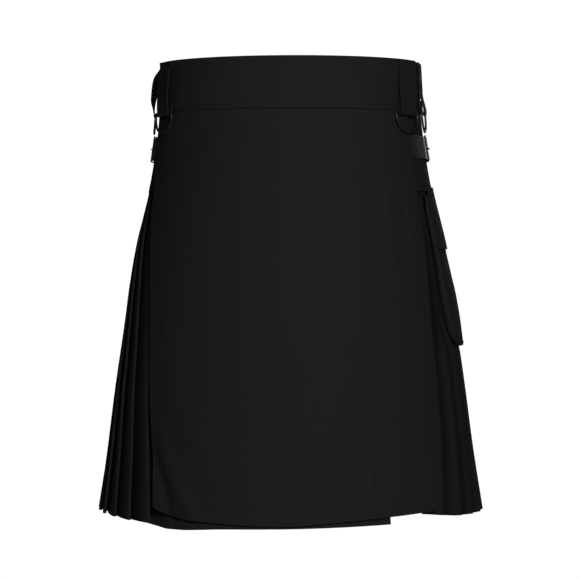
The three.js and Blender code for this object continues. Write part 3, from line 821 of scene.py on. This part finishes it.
def band_run(name, start, end, columns):
    half = BAND_THICK / 2
    faces = np.unique(np.concatenate([np.linspace(-33, 33, 24)] + [s + OFF_SEAM for s in BAND_SEAMS]))
    turn_up = np.linspace(0, math.pi, 7)[1:-1]
    outer = [(half, z, 1) for z in faces]
    top = [(half * math.cos(a), 33 + half * math.sin(a), 0) for a in turn_up]
    inner = [(-half, z, 0) for z in np.linspace(33, -33, 12)]
    foot = [(-half * math.cos(a), -33 - half * math.sin(a), 0) for a in turn_up]
    profile = np.array(outer + top + inner + foot + outer[:1])
    turn = np.linspace(start, end, columns)[None, :]
    z = profile[:, 1:2]
    level = band_level(turn) + profile[:, 0:1] + band_relief(turn, z) * profile[:, 2:3]
    band = cloth_sheet(f"{name}_cloth", place(turn, z, level), 0, cloth_black, wraps=True)
    in_edit_mode(band, lambda: bpy.ops.mesh.fill_holes(sides=0))
    in_edit_mode(band, lambda: bpy.ops.mesh.normals_make_consistent(inside=False))
    bpy.ops.object.shade_smooth_by_angle(angle=math.radians(50))
    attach(band, "garment")
    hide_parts(name)


OFF_SEAM = np.array([-2.2, -1.1, -0.5, 0, 0.5, 1.1, 2.2])
band_run("waistband_front", BAND_START, BAND_JOIN, 170)
band_run("waistband_back", BAND_JOIN + BAND_GAP, 360 + BAND_START - BAND_GAP, 220)
band_run("waistband_under", 360 + BAND_START, BAND_END, 90)


def band_seam(turns, heights):
    level = band_level(turns) + BAND_THICK / 2 + band_relief(turns, heights) + 0.08
    return on_form(turns, heights, level)


front_turns = np.linspace(BAND_START + 1, BAND_JOIN - 1, 160)
back_turns = np.linspace(BAND_JOIN + 1, 283, 220)
tack = np.linspace(0, 1, 8)
sew(
    "waistband_stitching",
    [band_seam(turns, np.full(len(turns), s)) for turns in (front_turns, back_turns) for s in BAND_SEAMS]
    + [
        band_seam(22.9 + 2.8 * tack, 18.8 + 0 * tack),
        band_seam(25.7 - 1.7 * tack, 18.4 - 6.5 * tack),
        band_seam(55 + 0 * tack, 26 - 10 * tack),
        band_seam(57.2 + 0 * tack, 26 - 10 * tack),
        band_seam(29 + 1.6 * tack, -18.9 + 0 * tack),
    ],
)

# Belt loops of the same twill, folded and stitched along both sides. The four wide ones on the hips are sewn
# on at the top edge only, and their lower ends are turned round the bar of a D-ring and sewn back on
# themselves. Handling has leant them and turned their faces. Stand and bar_out are millimetres off the band.
LOOP_WIDTH = 34
LOOP_CLOTH = 1.2
RING_WIRE = 3.0
LOOP_COLUMNS = ("turn", "base", "stand", "bar_out", "bar_z", "lean", "face")
LOOP_ROWS = {
    "right_front": (-62, 5, 7.2, 3.6, -37.5, -6, -67),
    "right_rear": (-83.5, 0.9, 8, 4.6, -34.5, 0, -75),
    "left_front": (60, 5, 7, 3.5, -37.5, 7, 60),
    "left_rear": (86, 0.9, 1.6, 3.5, -33.5, 0, 86),
}
HIP_LOOPS = {name: dict(zip(LOOP_COLUMNS, row)) for name, row in LOOP_ROWS.items()}
BACK_LOOPS = {"back_left": 155, "back_right": 205}


def along_band(turn):
    return np.cross([0, 0, 1], outward(turn, BAND_BOTTOM))


def rounded_line(corners, parts=5):
    """A soft line through the corners of a section, corner by corner."""
    line = [np.array(corners[0], float)]
    for k in range(len(corners) - 1):
        p = [np.array(corners[min(max(k + j, 0), len(corners) - 1)], float) for j in (-1, 0, 1, 2)]
        for s in np.linspace(0, 1, parts + 1)[1:]:
            bow = (2 * p[0] - 5 * p[1] + 4 * p[2] - p[3]) * s * s + (3 * p[1] - p[0] - 3 * p[2] + p[3]) * s**3
            line.append(0.5 * (2 * p[1] + (p[2] - p[0]) * s + bow))
    return np.array(line)


def strap_across(turn, base, section, half_widths, columns, curls=0.0):
    side = np.linspace(-1, 1, columns)[None, :]
    section = section[::-1]
    z = section[:, 1:2] + 0 * side
    level = base + section[:, 0:1] + np.reshape(curls, (-1, 1)) * side**2
    return place(turn, z, level) + (half_widths * side)[..., None] * along_band(turn)


LOOP_EDGES = (2, 22)
ON_LOOP = 0.75


def side_stitches(points, rows):
    seams = []
    for column in LOOP_EDGES:
        path = points[rows, column]
        ahead = np.gradient(path, axis=0)
        across = points[rows, -1] - points[rows, 0]
        out = np.cross(across, ahead)
        out /= np.linalg.norm(out, axis=1, keepdims=True)
        seams.append((path + out * ON_LOOP, out))
    return seams


def cross_stitches(points, row, turn):
    path = points[row, LOOP_EDGES[0] : LOOP_EDGES[1] + 1]
    out = np.broadcast_to(outward(turn, 0), path.shape)
    return path + out * ON_LOOP, out


loop_seams = []
for loop_name, loop in HIP_LOOPS.items():
    sewn = SEAM_GAP + LOOP_CLOTH / 2
    round_bar = RING_WIRE / 2 + SEAM_GAP + LOOP_CLOTH / 2
    stand, bar_out, bar_z = loop["stand"], loop["bar_out"], loop["bar_z"]
    corners = [
        (sewn, BAND_TOP - 1),
        (sewn + 0.3, BAND_TOP - 8),
        (sewn + (stand - sewn) * 0.75, 15),
        (stand, 2),
        (stand, -12),
        (stand + (bar_out + round_bar - stand) * 0.6, -24),
        (bar_out + round_bar, bar_z + 3),
    ]
    bend = np.radians(np.arange(0, -181, -30))
    corners += [(bar_out + round_bar * math.cos(a), bar_z + round_bar * math.sin(a)) for a in bend]
    corners += [
        (bar_out - round_bar, bar_z + 4),
        (min(bar_out - round_bar, sewn), bar_z + 9),
        (sewn, bar_z + 16),
    ]
    section = rounded_line(corners)
    low = section[::-1, 1:2]
    pinch = 1 - 0.13 * smooth(-low, 8, 30)
    half_widths = LOOP_WIDTH / 2 * pinch
    outer_leg = np.arange(len(section))[::-1, None] < 6 * 5
    curls = 1.1 * np.exp(-(((low + 20) / 12) ** 2)) * outer_leg
    points = strap_across(loop["turn"], loop["base"], section, half_widths, 25, curls)
    lean = loop["lean"] * smooth(low, 0, 32) * outer_leg
    points = points + lean[..., None] * along_band(loop["turn"])
    turned = along_band(loop["face"]) - along_band(loop["turn"])
    free = smooth(-low, -33, -18) * (1 - smooth(-low, 12, 31)) * outer_leg
    points = points + (free * half_widths * np.linspace(-1, 1, 25))[..., None] * turned
    strap = cloth_sheet(f"belt_loop_{loop_name}_cloth", points, 1.4, cloth_black)
    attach(strap, "garment")
    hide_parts(f"belt_loop_{loop_name}")
    rows = np.arange(len(section) - 32, len(section) - 1)
    loop_seams += side_stitches(points, rows)
    loop_seams += [cross_stitches(points, len(section) - below, loop["turn"]) for below in (4, 9, 27)]

for loop_name, turn in BACK_LOOPS.items():
    base = SKIN_LEVEL + BAND_THICK / 2
    corners = [(sewn, 33.5), (sewn + 0.3, 27.5), (5.4, 18), (7, 6)]
    corners += [(7, -6), (5.4, -18), (sewn + 0.3, -27), (sewn, -33)]
    section = rounded_line(corners)
    points = strap_across(turn, base, section, np.full((len(section), 1), LOOP_WIDTH / 2), 25)
    strap = cloth_sheet(f"belt_loop_{loop_name}_cloth", points, 1.4, cloth_black)
    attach(strap, "garment")
    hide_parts(f"belt_loop_{loop_name}")
    loop_seams += side_stitches(points, np.arange(1, len(section) - 1))
    loop_seams += [cross_stitches(points, row, turn) for row in (2, len(section) - 3)]
sew("loop_stitching", loop_seams)

# D-rings bent from round steel wire and blackened, one hanging in each hip loop. The wire's ends meet inside
# the loop, and each ring swings on its straight bar.
RING_WIDTH = 43
RING_DROP = 26
RING_TILT = 5


def black_metal(name):
    material, shader, at, uv = start_material(name, 0.5, 0.34)
    shader.inputs["Metallic"].default_value = 0.55
    wear = at.of("ShaderNodeTexNoise", links={"Vector": at, "Scale": 160.0, "Detail": 4.0})
    rubbed = wear.of("ShaderNodeValToRGB", {"stops": ((0.52, 0.0), (0.75, 1.0))}, {0: wear})
    colour = mix_colours(rubbed, (0.03, 0.03, 0.032), (0.06, 0.059, 0.058))
    at.tree.links.new(colour.socket, shader.inputs["Base Color"])
    at.tree.links.new((0.28 + rubbed * 0.2).socket, shader.inputs["Roughness"])
    pits = at.of("ShaderNodeTexNoise", links={"Vector": at, "Scale": 900.0, "Detail": 2.0})
    bump = at.of("ShaderNodeBump", links={"Strength": 0.15, "Distance": 0.0004, "Height": pits})
    at.tree.links.new(bump.socket, shader.inputs["Normal"])
    return material


metal_black = black_metal("blackened_steel")


def wire_loop(name, path, face, radius, material):
    """A closed wire along a path of points in millimetres; face is square to the loop."""
    bpy.ops.mesh.primitive_torus_add(
        major_segments=len(path), minor_segments=12, major_radius=1, minor_radius=0.5
    )
    obj = bpy.context.object
    obj.name = name
    obj.data.name = name
    co = np.zeros(3 * len(obj.data.vertices))
    obj.data.vertices.foreach_get("co", co)
    co = co.reshape(-1, 3)
    station = np.round(np.arctan2(co[:, 1], co[:, 0]) / (2 * math.pi) * len(path)).astype(int) % len(path)
    out, up = (np.hypot(co[:, 0], co[:, 1]) - 1) * 2, co[:, 2] * 2
    run = np.roll(path, -1, axis=0) - np.roll(path, 1, axis=0)
    run /= np.linalg.norm(run, axis=1, keepdims=True)
    side = np.cross(run, face)
    side /= np.linalg.norm(side, axis=1, keepdims=True)
    points = path[station] + radius * (side[station] * out[:, None] + face * up[:, None])
    obj.data.vertices.foreach_set("co", (points / 1000).ravel())
    in_edit_mode(obj, lambda: bpy.ops.mesh.normals_make_consistent(inside=False))
    bpy.ops.object.shade_smooth()
    obj.data.materials.append(material)
    return obj


def arc(cx, cy, rx, ry, start, end, parts):
    angles = np.radians(np.linspace(start, end, parts + 1)[:-1])
    return [(cx + rx * math.cos(a), cy + ry * math.sin(a)) for a in angles]


ring_half = RING_WIDTH / 2
ring_line = [(x, 0) for x in np.linspace(-ring_half + 3.5, ring_half - 3.5, 15)[:-1]]
ring_line += arc(ring_half - 3.5, 3.5, 3.5, 3.5, -90, 0, 6)
ring_line += arc(0, 3.5, ring_half, RING_DROP - 3.5, 0, 180, 44)
ring_line += arc(-ring_half + 3.5, 3.5, 3.5, 3.5, 180, 270, 6)
for ring_name, loop in HIP_LOOPS.items():
    bar = place(loop["turn"], loop["bar_z"], loop["base"] + loop["bar_out"])
    out, along = outward(loop["turn"], BAND_BOTTOM), along_band(loop["turn"])
    tilt = math.radians(RING_TILT)
    hang = np.array([0, 0, -math.cos(tilt)]) + out * math.sin(tilt)
    path = bar + np.array([along * x + hang * y for x, y in ring_line])
    face = np.cross(along, hang)
    ring = wire_loop(f"d_ring_{ring_name}_wire", path, face, RING_WIRE / 2, metal_black)
    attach(ring, f"ring_{ring_name}")
    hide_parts(f"d_ring_{ring_name}")

# Hip straps of smooth black leather with a burnished edge. Each comes out from beside the over apron's edge,
# goes through a buckle sewn to the yoke by a leather chape, and is held down by a keeper.
STRAP_Z = -81
STRAP_WIDTH = 30
STRAP_THICK = 2.0
BUCKLE_TURN = 88
BUCKLE_HALF = 11
BUCKLE_WIRE = 2.0
CHAPE_WIDTH = 22
CHAPE_THICK = 1.4
HOLES = (3, 16, 29)


def leather():
    material, shader, at, uv = start_material("black_leather", 0.5, 0.4)
    shader.inputs["Coat Roughness"].default_value = 0.3
    shader.inputs["Coat Weight"].default_value = 0.3
    grain = at.of("ShaderNodeTexVoronoi", links={"Vector": at, "Scale": 950.0})
    pull = at.of("ShaderNodeTexNoise", links={"Vector": at, "Scale": 60.0, "Detail": 3.0})
    colour = mix_colours(pull * 0.7 + grain * 0.3, (0.011, 0.0095, 0.0125), (0.028, 0.025, 0.032))
    at.tree.links.new(colour.socket, shader.inputs["Base Color"])
    at.tree.links.new((0.3 + pull * 0.22).socket, shader.inputs["Roughness"])
    height = grain * 0.00005 + pull * 0.00025
    bump = at.of("ShaderNodeBump", links={"Strength": 0.45, "Distance": 1.0, "Height": height})
    at.tree.links.new(bump.socket, shader.inputs["Normal"])
    return material


leather_black = leather()


def leather_strap(name, replaced, points, thick):
    strap = cloth_sheet(name, points, thick, leather_black)
    edge = strap.modifiers.new("burnished_edge", "BEVEL")
    edge.width = 0.00035
    edge.segments = 2
    edge.angle_limit = math.radians(50)
    finish_mesh(strap)
    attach(strap, "garment")
    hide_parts(replaced)
    return strap


def strap_points(sign, start, end, width, columns, rows, level_of, tip):
    mm = 1 / per_degree(BUCKLE_TURN, STRAP_Z)
    turn = np.linspace(start, end, columns)
    if tip:
        rounded = end - 9 * mm * (1 - np.sin(np.linspace(0, 1.5, 12)))
        turn = np.concatenate([turn[turn < end - 9 * mm], rounded])
    left = np.clip((end - turn) / mm / 9, 0, 1)
    rounding = np.sqrt(1 - (1 - left) ** 2) if tip else np.ones(len(turn))
    half = width / 2 * (0.3 + 0.7 * rounding)
    z = STRAP_Z + np.linspace(-1, 1, rows)[:, None] * half[None, :]
    points = place(sign * turn[None, :], z, level_of(turn)[None, :] + 0 * z)
    return points if sign > 0 else points[:, ::-1]


def hip_strap(side, sign, start):
    mm = 1 / per_degree(BUCKLE_TURN, STRAP_Z)
    toe, heel = BUCKLE_TURN - BUCKLE_HALF * mm, BUCKLE_TURN + BUCKLE_HALF * mm
    lying = SEAM_GAP + STRAP_THICK / 2
    on_chape = 2 * SEAM_GAP + CHAPE_THICK + STRAP_THICK / 2
    over_bar = 3.8
    end = heel + 44 * mm

    def strap_level(turn):
        climb = lying + (over_bar - lying) * smooth(turn, toe + 2 * mm, heel - 3 * mm)
        return climb + (on_chape - climb) * smooth(turn, heel + 3 * mm, heel + 12 * mm)

    points = strap_points(sign, start, end, STRAP_WIDTH, 90, 13, strap_level, True)
    strap = leather_strap(f"hip_strap_{side}_leather", f"hip_strap_{side}", points, STRAP_THICK)
    for away in HOLES:
        at = heel + away * mm
        spot = place(sign * at, STRAP_Z, float(strap_level(np.array([at]))[0])) / 1000
        turned = Vector(outward(sign * at, STRAP_Z)).to_track_quat("Z", "Y").to_euler()
        bpy.ops.mesh.primitive_cylinder_add(
            vertices=20, radius=0.0021, depth=0.006, location=spot, rotation=turned
        )
        punch = bpy.context.object
        hole = strap.modifiers.new("punched_hole", "BOOLEAN")
        hole.operation = "DIFFERENCE"
        hole.object = punch
        finish_mesh(strap)
        bpy.data.objects.remove(punch)

    chape = strap_points(
        sign, heel + 1.6 * mm, heel + 38 * mm, CHAPE_WIDTH, 30, 9,
        lambda turn: np.full(len(turn), SEAM_GAP + CHAPE_THICK / 2), False,
    )
    leather_strap(f"chape_{side}_leather", f"chape_{side}", chape, CHAPE_THICK)

    high, corner = STRAP_WIDTH / 2 + 2, 3
    line = [(x, -high) for x in np.linspace(-BUCKLE_HALF + corner, BUCKLE_HALF - corner, 9)[:-1]]
    line += arc(BUCKLE_HALF - corner, -high + corner, corner, corner, -90, 0, 5)
    line += [(BUCKLE_HALF, y) for y in np.linspace(-high + corner, high - corner, 13)[:-1]]
    line += arc(BUCKLE_HALF - corner, high - corner, corner, corner, 0, 90, 5)
    line += [(x, high) for x in np.linspace(BUCKLE_HALF - corner, -BUCKLE_HALF + corner, 9)[:-1]]
    line += arc(-BUCKLE_HALF + corner, high - corner, corner, corner, 90, 180, 5)
    line += [(-BUCKLE_HALF, y) for y in np.linspace(high - corner, -high + corner, 13)[:-1]]
    line += arc(-BUCKLE_HALF + corner, -high + corner, corner, corner, 180, 270, 5)
    line = np.array(line)
    level = 4.1 + (1.5 - 4.1) * (line[:, 0] + BUCKLE_HALF) / (2 * BUCKLE_HALF)
    path = place(sign * (BUCKLE_TURN + line[:, 0] * mm), STRAP_Z + line[:, 1], level)
    face = outward(sign * BUCKLE_TURN, STRAP_Z)
    buckle = wire_loop(f"buckle_{side}_frame", path, face, BUCKLE_WIRE / 2, metal_black)
    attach(buckle, "garment")
    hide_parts(f"buckle_{side}")

    prong_level = 4.1 + BUCKLE_WIRE / 2 + SEAM_GAP + 0.7
    bpy.ops.curve.primitive_nurbs_path_add()
    prong = bpy.context.object
    prong.name = f"prong_{side}_pin"
    spline = prong.data.splines[0]
    spline.points.add(3)
    places = np.linspace(heel + 1.5 * mm, toe - 2 * mm, 8)
    levels = prong_level + np.array([-0.5, -0.1, 0.1, 0.15, 0.15, 0.1, 0, -0.25])
    for point, turn, height in zip(spline.points, places, levels):
        point.co = (*(place(sign * turn, STRAP_Z, height) / 1000), 1)
    spline.use_endpoint_u = True
    prong.data.bevel_depth = 0.0008
    prong.data.bevel_resolution = 4
    prong.data.use_fill_caps = True
    only(prong)
    bpy.ops.object.convert(target="MESH")
    prong.data.name = prong.name
    prong.data.materials.append(metal_black)
    bpy.ops.object.shade_smooth_by_angle(angle=math.radians(50))
    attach(prong, "garment")
    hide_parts(f"prong_{side}")

    over = on_chape + STRAP_THICK / 2 + SEAM_GAP + 0.6
    reach = STRAP_WIDTH / 2 + 1.2
    low = SEAM_GAP + 0.6
    corners = [(low, reach + 5), (low, reach + 0.8), (over - 0.6, reach), (over, reach - 1.5), (over, 0)]
    corners += [(out, -height) for out, height in corners[-2::-1]]
    section = rounded_line([(out, STRAP_Z + height) for out, height in corners], 4)
    turn = sign * (heel + 20 * mm)
    points = strap_across(turn, 0, section, np.full((len(section), 1), 4.5), 7)
    leather_strap(f"keeper_{side}_leather", f"keeper_{side}", points, 1.2)

    def strap_seam(edge, start, stop):
        turns = np.linspace(start, stop, 40)
        return on_form(sign * turns, np.full(40, STRAP_Z + edge), strap_level(turns) + STRAP_THICK / 2)

    sew(f"strap_stitching_{side}", [strap_seam(e, start + 1, toe - 3 * mm) for e in (-12, 12)])


edge_gap = SEAM_GAP / per_degree(63, STRAP_Z)
hip_strap("left", 1, fold_edge(STRAP_Z) + CLOTH / 2 / per_degree(63, STRAP_Z) + 2 * edge_gap)
hip_strap("right", -1, -free_edge(STRAP_Z) - 5)

# The view: a plain pale floor where the wearer would stand, soft light from the front and above, and the
# camera of the photograph, level with the middle of the kilt.
bpy.ops.mesh.primitive_circle_add(vertices=96, radius=1.3, fill_type="NGON", location=(0, 0, -1.05))
floor = bpy.context.object
floor.name = "floor"
floor_paint, floor_shader, floor_at, floor_uv = start_material("pale_floor", 0.2, 0.8)
floor_shader.inputs["Base Color"].default_value = (0.82, 0.82, 0.82, 1)
floor.data.materials.append(floor_paint)

world = bpy.data.worlds.new("studio")
bpy.context.scene.world = world
world.use_nodes = True
sky = world.node_tree
backdrop = sky.nodes["Background"]
backdrop.inputs["Color"].default_value = (1, 1, 1, 1)
backdrop.inputs["Strength"].default_value = 0.02
plain_white = sky.nodes.new("ShaderNodeBackground")
plain_white.inputs["Strength"].default_value = 1.3
rays = sky.nodes.new("ShaderNodeLightPath")
either = sky.nodes.new("ShaderNodeMixShader")
sky.links.new(rays.outputs["Is Camera Ray"], either.inputs[0])
sky.links.new(backdrop.outputs[0], either.inputs[1])
sky.links.new(plain_white.outputs[0], either.inputs[2])
sky.links.new(either.outputs[0], sky.nodes["World Output"].inputs["Surface"])

LAMPS = [
    ("key_light", (0.45, -1.9, 0.35), 0.5, 20),
    ("side_light", (2.3, 2.2, 0.0), 1.0, 0.8),
    ("back_light", (0.3, 3.0, 0.9), 1.8, 30),
]
for lamp_name, spot, width, power in LAMPS:
    lamp_data = bpy.data.lights.new(lamp_name, "AREA")
    lamp_data.size = width
    lamp_data.energy = power
    lamp = bpy.data.objects.new(lamp_name, lamp_data)
    lamp.location = spot
    aim = Vector((0, 0, -0.27)) - Vector(spot)
    lamp.rotation_euler = aim.to_track_quat("-Z", "Y").to_euler()
    bpy.context.collection.objects.link(lamp)

camera_data = bpy.data.cameras.new("camera")
camera_data.lens = 136.9
camera_data.sensor_width = 36
camera = bpy.data.objects.new("camera", camera_data)
bpy.context.collection.objects.link(camera)
camera_away = 3.0
swing = math.radians(4.3)
camera.location = (camera_away * math.sin(swing), -camera_away * math.cos(swing), -0.2450)
aim = Vector((0, 0, -0.2723)) - camera.location
camera.rotation_euler = aim.to_track_quat("-Z", "Y").to_euler()
bpy.context.scene.camera = camera
bpy.context.scene.view_settings.view_transform = "Standard"
